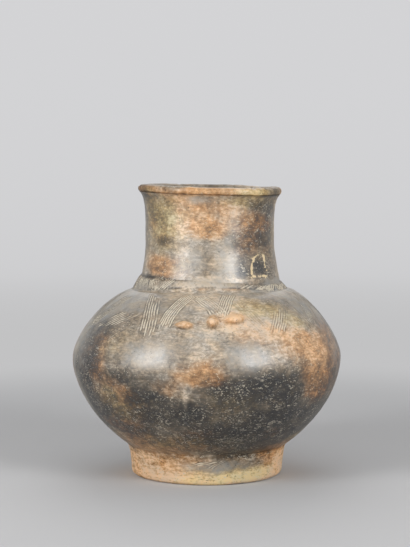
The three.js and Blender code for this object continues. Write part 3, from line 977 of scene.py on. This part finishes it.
# Fired clay by how deeply smoke has coloured it, from none to black, in three hues
TONES = {
    "brown": [(204, 188, 170), (156, 143, 127), (108, 97, 83), (64, 58, 50), (24, 24, 26)],
    "ember": [(228, 192, 156), (190, 147, 104), (143, 106, 70), (88, 61, 39), (37, 30, 25)],
    "olive": [(216, 196, 152), (172, 149, 105), (118, 99, 66), (70, 59, 39), (34, 31, 24)],
}
COOL = (0.92, 0.98, 1.04, 1.0)
WARM = (1.09, 1.02, 0.9, 1.0)
FILM = linear((158, 154, 147))
SPECK = linear((203, 193, 173))
PIT = linear((44, 38, 35))
DUST = linear((214, 203, 182))
CHIP = linear((222, 200, 160))
SMOKED = linear((62, 55, 50))

# How much of its colour each covering gives where it is complete
ASH_AND_SHEEN_COVER = 0.75
HAZE_COVER = 0.42
PIT_COVER = 0.6
SPECK_COVER = 0.7
LAND_COVER = 0.6
DUST_COVER = 0.85
LINING_COVER = 0.85

BUMP_STRENGTH = 0.5
BUMP_HEIGHT = 0.22 * MM
SPECULAR = 0.2
COAT_SHARE = 0.43  # the glossy coat's weight on a finish whose shine is 1
COAT_IOR = 2.2
COAT_ROUGHNESS = 0.36
SPECK_LEVEL = 0.705  # where a noise from 0 to 1 is higher than this, it makes a speck or scratch
PIT_LEVEL = 0.66


class Recipe:
    """A material under construction. Each call adds a node and gives its output."""

    def __init__(self, name):
        self.material = bpy.data.materials.new(name)
        self.material.use_nodes = True
        self.tree = self.material.node_tree
        self.tree.nodes.clear()

    def add(self, kind, output, inputs=(), **settings):
        node = self.tree.nodes.new(kind)
        for key, value in settings.items():
            setattr(node, key, value)
        for key, value in dict(inputs).items():
            if isinstance(value, bpy.types.NodeSocket):
                self.tree.links.new(value, node.inputs[key])
            else:
                node.inputs[key].default_value = value
        return None if output is None else node.outputs[output]

    def field(self, name):
        return self.add("ShaderNodeAttribute", "Fac", attribute_name=name)

    def math(self, operation, a, b=0.0):
        return self.add("ShaderNodeMath", "Value", {0: a, 1: b}, operation=operation)

    def times(self, a, b):
        return self.math("MULTIPLY", a, b)

    def most(self, first, *others):
        for other in others:
            first = self.math("MAXIMUM", first, other)
        return first

    def sum(self, first, *terms):
        """First plus each of the (value, weight) terms."""
        for value, weight in terms:
            first = self.math("ADD", first, self.times(value, weight))
        return first

    def ramp(self, value, low, high):
        """From 0 to 1 between the two values, smoothly."""
        inputs = {"Value": value, "From Min": low, "From Max": high}
        return self.add("ShaderNodeMapRange", "Result", inputs, interpolation_type="SMOOTHSTEP")

    def blend(self, factor, a, b, mode="MIX"):
        inputs = {0: factor, 6: a, 7: b}
        return self.add("ShaderNodeMix", 2, inputs, data_type="RGBA", blend_type=mode)

    def vmath(self, operation, a, b, key=1):
        """A sum over vectors. Key names the second socket."""
        return self.add("ShaderNodeVectorMath", 0, {0: a, key: b}, operation=operation)

    def scaled(self, vector, scale):
        return self.add("ShaderNodeMapping", "Vector", {"Vector": vector, "Scale": scale})

    def apart(self, vector, number):
        """The vector moved and turned, so that its noise is unrelated to other noise and to the
        axes."""
        inputs = {"Vector": vector, "Location": (31 * number, 17, 9 * number)}
        inputs["Rotation"] = (0.6, 0.9 + number, 0.4)
        return self.add("ShaderNodeMapping", "Vector", inputs)

    def noise(self, vector, size, detail, roughness, distortion=0.0, above=0.5):
        """Noise from 0 to 1, less the value that it is measured above."""
        inputs = {"Vector": vector, "Scale": 1 / size, "Detail": detail, "Roughness": roughness}
        inputs["Distortion"] = distortion
        return self.math("SUBTRACT", self.add("ShaderNodeTexNoise", "Fac", inputs), above)

    def sway(self, vector, size, reach):
        """The vector pushed about by a slow noise, so that what follows it isn't straight."""
        inputs = {"Vector": vector, "Scale": 1 / size, "Detail": 1.0}
        push = self.vmath("SUBTRACT", self.add("ShaderNodeTexNoise", "Color", inputs), (0.5,) * 3)
        return self.vmath("ADD", vector, self.vmath("SCALE", push, reach, "Scale"))

    def tones(self, value, colours):
        """A colour from an even scale of tones."""
        node = self.add("ShaderNodeValToRGB", 0, {0: value}).node
        scale = node.color_ramp.elements
        for step, colour in enumerate(colours):
            place = step / (len(colours) - 1)
            element = scale[0 if step == 0 else -1] if place in (0, 1) else scale.new(place)
            element.color = linear(colour)
        return node.outputs[0]

    def dots(self, vector, size, share, ragged):
        """Small ragged spots in a share of the cells of a loose pattern."""
        cells = self.add("ShaderNodeTexVoronoi", "Distance", {"Vector": vector, "Scale": 1 / size})
        lot = self.add("ShaderNodeSeparateColor", 0, {0: cells.node.outputs["Color"]})
        chosen = self.ramp(self.math("ADD", lot, share), 0.96, 1.02)
        return self.times(chosen, self.ramp(self.sum(cells, (ragged, 1.2)), 0.45, 0.2))

    def crumbs(self, vector, size, least):
        """Ragged spots where a fine noise rises above a level."""
        return self.ramp(self.noise(vector, size, 2.0, 0.6, above=least), 0.0, 0.06)

    def finish(self, shader):
        self.add("ShaderNodeOutputMaterial", None, {"Surface": shader})
        return self.material


def clay(name, roughness, specks=1, streaks=1, grain=1, shine=1):
    """Smoke-fired clay, burnished along the turn of the pot.

    Each sum gives a field or a noise beside the weight that it counts with. Sizes are in
    millimetres."""
    r = Recipe(name)
    place = r.scaled(r.add("ShaderNodeTexCoord", "Object"), [1 / MM] * 3)
    split = r.add("ShaderNodeSeparateXYZ", 0, {0: place}).node.outputs
    around = {0: split[0], 1: split[1], 2: r.field("run")}
    wrapped = r.add("ShaderNodeCombineXYZ", 0, around)
    broad = r.noise(r.apart(place, 1), 26, 3, 0.5)
    mottle = r.noise(r.apart(place, 2), 7, 5, 0.65, 0.4)
    dabs = r.scaled(r.sway(wrapped, 9, 6), (0.6, 0.6, 1))
    fine = r.noise(dabs, 1.7, 2, 0.6)
    swept = r.scaled(r.sway(wrapped, 14, 3), (0.2, 0.2, 1))
    streak = r.noise(swept, 2.2, 4, 0.7, 0.4)
    hue = r.noise(r.scaled(r.apart(wrapped, 11), (0.6, 0.6, 1)), 8, 4, 0.65, 0.3)
    soot, ash, ember = r.field("soot"), r.field("ash"), r.field("ember")
    lining, groove, land = r.field("lining"), r.field("comb"), r.field("land")
    # The texture fades where the ash lies, and so under the painted sheen too
    burnish = r.sum(1.0, (ash, -0.6))

    # Smoke has coloured the clay by a depth that the clouds set and the texture breaks up
    smoke = r.sum(
        SMOKE_LEVEL,
        (soot, SOOT_AND_SHADE_DEPTH),
        (r.field("pale"), -PALE_DEPTH),
        (broad, 0.35),
        (mottle, 0.7),
        (r.times(mottle, ember), 0.35),
        (r.times(mottle, soot), 0.5),
        (r.times(streak, burnish), 0.65 * streaks),
        (r.times(fine, burnish), 0.85 * grain),
    )
    colour = r.tones(smoke, TONES["brown"])
    for number, kind in enumerate(("ember", "olive", "ash")):
        torn = r.noise(r.apart(place, 4 + number), 13, 6, 0.7, 0.5)
        cover = r.ramp(r.sum(r.field(kind), (torn, 1.0), (streak, 0.2), (fine, 0.3)), 0.1, 0.9)
        # The ash film, which also paints sheen and reflection where the ash clouds mark them
        if kind == "ash":
            colour = r.blend(r.times(cover, ASH_AND_SHEEN_COVER), colour, FILM)
        else:
            colour = r.blend(cover, colour, r.tones(smoke, TONES[kind]))
    tint = r.blend(r.ramp(hue, -0.2, 0.2), COOL, WARM)
    colour = r.blend(1.0, colour, tint, "MULTIPLY")

    # Soot is rubbed to a grey haze of fine scratches
    rubbed = r.times(r.ramp(r.sum(fine, (streak, 0.6), (mottle, 0.5)), 0.04, 0.3), soot)
    colour = r.blend(r.times(rubbed, HAZE_COVER), colour, FILM)

    # Pale grits and scratches where the burnish has worn through, and dark pits
    torn = r.noise(r.apart(place, 7), 12, 4, 0.65)
    # Specks thin out under the ash, and so under the painted sheen too
    least = r.sum(SPECK_LEVEL - 0.03 * specks, (torn, -0.4), (soot, -0.06), (ash, 0.12))
    share = r.sum(0.05 * specks, (torn, 1.3), (soot, 0.1), (ash, -0.5))
    dots = r.dots(r.apart(wrapped, 8), 1.1, share, fine)
    dashes = r.crumbs(r.scaled(r.sway(wrapped, 10, 6), (0.5, 0.5, 1)), 1.2, least)
    scratches = r.crumbs(r.scaled(r.apart(wrapped, 9), (0.3, 1, 1)), 1.3, least)
    speck = r.most(dots, dashes, scratches)
    pits = r.crumbs(r.apart(wrapped, 10), 1.9, r.sum(PIT_LEVEL, (torn, 0.2)))
    colour = r.blend(r.times(pits, PIT_COVER), colour, PIT)
    worn = r.times(speck, r.sum(SPECK_COVER, (mottle, 2.0), (soot, -0.12)))
    colour = r.blend(worn, colour, SPECK)

    # The combing is pale with dust in its grooves and dark on the lands between them
    dusty = r.times(r.ramp(groove, 0.35, 0.8), r.ramp(fine, -0.25, 0.05))
    colour = r.blend(r.times(land, LAND_COVER), colour, PIT)
    colour = r.blend(r.times(dusty, DUST_COVER), colour, DUST)

    # A flake has come off the neck and left a pale broken edge, and the inside is dark
    chip = r.sum(r.math("ABSOLUTE", r.field("flake")), (fine, 2.5), (mottle, 7.0), (torn, 8.0))
    colour = r.blend(r.ramp(chip, 1.1, 0.5), colour, CHIP)
    colour = r.blend(r.times(lining, LINING_COVER), colour, SMOKED)

    rough = r.sum(roughness, (ash, 0.08), (speck, 0.15), (groove, 0.25), (lining, 0.3))
    rough = r.sum(rough, (streak, 0.25), (mottle, 0.25))
    height = r.sum(0.0, (streak, 0.8), (fine, grain), (mottle, 0.5), (speck, -0.3), (pits, -0.4))
    bump = {"Height": height, "Strength": BUMP_STRENGTH, "Distance": BUMP_HEIGHT}
    shader = {
        "Base Color": colour,
        "Roughness": rough,
        "Normal": r.add("ShaderNodeBump", "Normal", bump),
        "Specular IOR Level": SPECULAR,
        "Coat Weight": COAT_SHARE * shine,
        "Coat IOR": COAT_IOR,
        "Coat Roughness": COAT_ROUGHNESS,
    }
    return r.finish(r.add("ShaderNodeBsdfPrincipled", "BSDF", shader))


PIECES = {
    "foot_ring": (foot_ring, "foot_clay"),
    "base_disc": (base_disc, "base_clay"),
    "lower_body": (lower_body, "bowl_clay"),
    "shoulder": (shoulder, "shoulder_clay"),
    "collar": (collar, "collar_clay"),
    "neck": (neck, "neck_clay"),
    "rim_roll": (rim_roll, "lip_clay"),
    **{name: (functools.partial(lug, name), "lug_clay") for name in LUGS},
}
FINISHES = {
    "foot_clay": clay("foot_finish", 0.6, specks=1.8, streaks=1.7, grain=1.1, shine=0),
    "base_clay": clay("base_finish", 0.65, specks=0.5, streaks=0.5, grain=1.5, shine=0),
    "bowl_clay": clay("bowl_finish", 0.44, shine=0.85),
    "shoulder_clay": clay("shoulder_finish", 0.44, specks=0.8),
    "collar_clay": clay("collar_finish", 0.5, specks=1.6, streaks=0.8, grain=1.6, shine=0.6),
    "neck_clay": clay("neck_finish", 0.45, specks=0.9),
    "lip_clay": clay("lip_finish", 0.55, specks=0.8, streaks=0.5, grain=0.7, shine=0.3),
    "lug_clay": clay("lug_finish", 0.5, specks=0.3, streaks=0.6, shine=0.5),
}

for name, (make, slot) in PIECES.items():
    piece = make()
    piece.name = name + "_skin"
    piece.data.materials.append(FINISHES[slot])
    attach(piece, "root")
    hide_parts(name)

# A plain floor that runs up into a round backdrop well behind every view's camera
FLOOR_RADIUS = 2.1
SWEEP_RADIUS = 0.6
WALL_TOP = 3.2
BACKDROP_COLUMNS = 96
FLOOR_GREY = linear((193, 193, 194))
FLOOR_SHADE = linear((168, 169, 171))
FLOOR_MIDDLE = linear((194, 194, 195))
WALL_GREY = linear((213, 213, 215))
FLOOR_FADE = 0.2, 0.7  # metres from the middle
WALL_FADE = 0.9, 3.2
LAMP_AIM = 0.12  # the level that the lamps face
LAMP_DISTANCE = 1.15


def paper():
    """Pale paper, lit as it lies near the pot, and with its own even brightness further off."""
    r = Recipe("paper")
    place = r.add("ShaderNodeNewGeometry", "Position")
    distance = r.add("ShaderNodeVectorMath", "Value", {0: place}, operation="LENGTH")
    near = r.add("ShaderNodeBsdfDiffuse", "BSDF", {"Color": FLOOR_GREY})
    middle = r.blend(r.ramp(distance, *FLOOR_FADE), FLOOR_SHADE, FLOOR_MIDDLE)
    colour = r.blend(r.ramp(distance, *WALL_FADE), middle, WALL_GREY)
    far = r.add("ShaderNodeEmission", "Emission", {"Color": colour, "Strength": 1.0})
    rays = r.add("ShaderNodeLightPath", "Is Camera Ray").node.outputs
    seen = r.most(*(rays[f"Is {kind} Ray"] for kind in ("Camera", "Glossy", "Transmission")))
    share = r.times(seen, r.ramp(distance, *FLOOR_FADE))
    return r.finish(r.add("ShaderNodeMixShader", "Shader", {0: share, 1: near, 2: far}))


def backdrop():
    """A flat floor whose edge sweeps up into an upright wall, all round the pot."""
    turn = np.radians(np.linspace(0, 90, 13))
    sweep = SWEEP_RADIUS * np.stack([np.sin(turn), -np.cos(turn)], -1)
    sweep += (FLOOR_RADIUS, SWEEP_RADIUS)
    line = np.concatenate([sweep, [(FLOOR_RADIUS + SWEEP_RADIUS, WALL_TOP)]])
    azimuth = np.arange(BACKDROP_COLUMNS) * 360 / BACKDROP_COLUMNS
    built = bmesh.new()
    rings = [[built.verts.new(p) for p in position(*pair, azimuth)] for pair in line]
    built.faces.new(rings[0])
    for low, high in zip(rings, rings[1:]):
        for k in range(BACKDROP_COLUMNS):
            built.faces.new((low[k - 1], high[k - 1], high[k], low[k]))
    mesh = bpy.data.meshes.new("backdrop")
    built.to_mesh(mesh)
    mesh.polygons.foreach_set("use_smooth", [True] * len(mesh.polygons))
    mesh.materials.append(paper())
    stage = placed("backdrop", mesh)
    stage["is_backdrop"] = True


def softbox(name, azimuth, elevation, width, height, power):
    """A rectangular lamp that faces the middle of the pot."""
    light = bpy.data.lights.new(name, "AREA")
    light.shape = "RECTANGLE"
    light.size, light.size_y = width, height
    light.energy = power
    lamp = placed(name, light)
    rise = math.radians(elevation)
    away = Vector(position(math.cos(rise), math.sin(rise), azimuth))
    lamp.location = Vector((0, 0, LAMP_AIM)) + LAMP_DISTANCE * away
    lamp.rotation_euler = (-away).to_track_quat("-Z", "Y").to_euler()
    lamp.visible_camera = False


backdrop()
softbox("left_softbox", azimuth=-48, elevation=21, width=0.38, height=0.66, power=8.6)
softbox("right_softbox", azimuth=42, elevation=21, width=0.36, height=0.6, power=8.0)
softbox("back_softbox", azimuth=180, elevation=45, width=0.8, height=0.8, power=4.5)
softbox("top_softbox", azimuth=0, elevation=80, width=1.3, height=1.1, power=2.6)

WORLD_STRENGTH = 0.18
world = bpy.data.worlds.new("studio")
world.use_nodes = True
even_light = world.node_tree.nodes["Background"].inputs
even_light["Color"].default_value = (1, 1, 1, 1)
even_light["Strength"].default_value = WORLD_STRENGTH
bpy.context.scene.world = world

# The camera stands a little above the middle of the pot and looks slightly down
CAMERA_PLACE = (-0.0016, -1.28, 0.253)
CAMERA_PITCH = 4.2
FOCAL_PIXELS = 1610  # the focal length, in pixels of a picture this high
PICTURE_HEIGHT = 547
SENSOR_SIZE = 36
lens = bpy.data.cameras.new("camera")
lens.sensor_width = SENSOR_SIZE
lens.lens = FOCAL_PIXELS / PICTURE_HEIGHT * SENSOR_SIZE
camera = placed("camera", lens)
camera.location = CAMERA_PLACE
camera.rotation_euler = (math.radians(90 - CAMERA_PITCH), 0, 0)
bpy.context.scene.camera = camera
bpy.context.scene.view_settings.view_transform = "Standard"

sizes = {"cad": cad_box, "visual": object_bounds()}
sizes = {name: [list(corner) for corner in box] for name, box in sizes.items()}
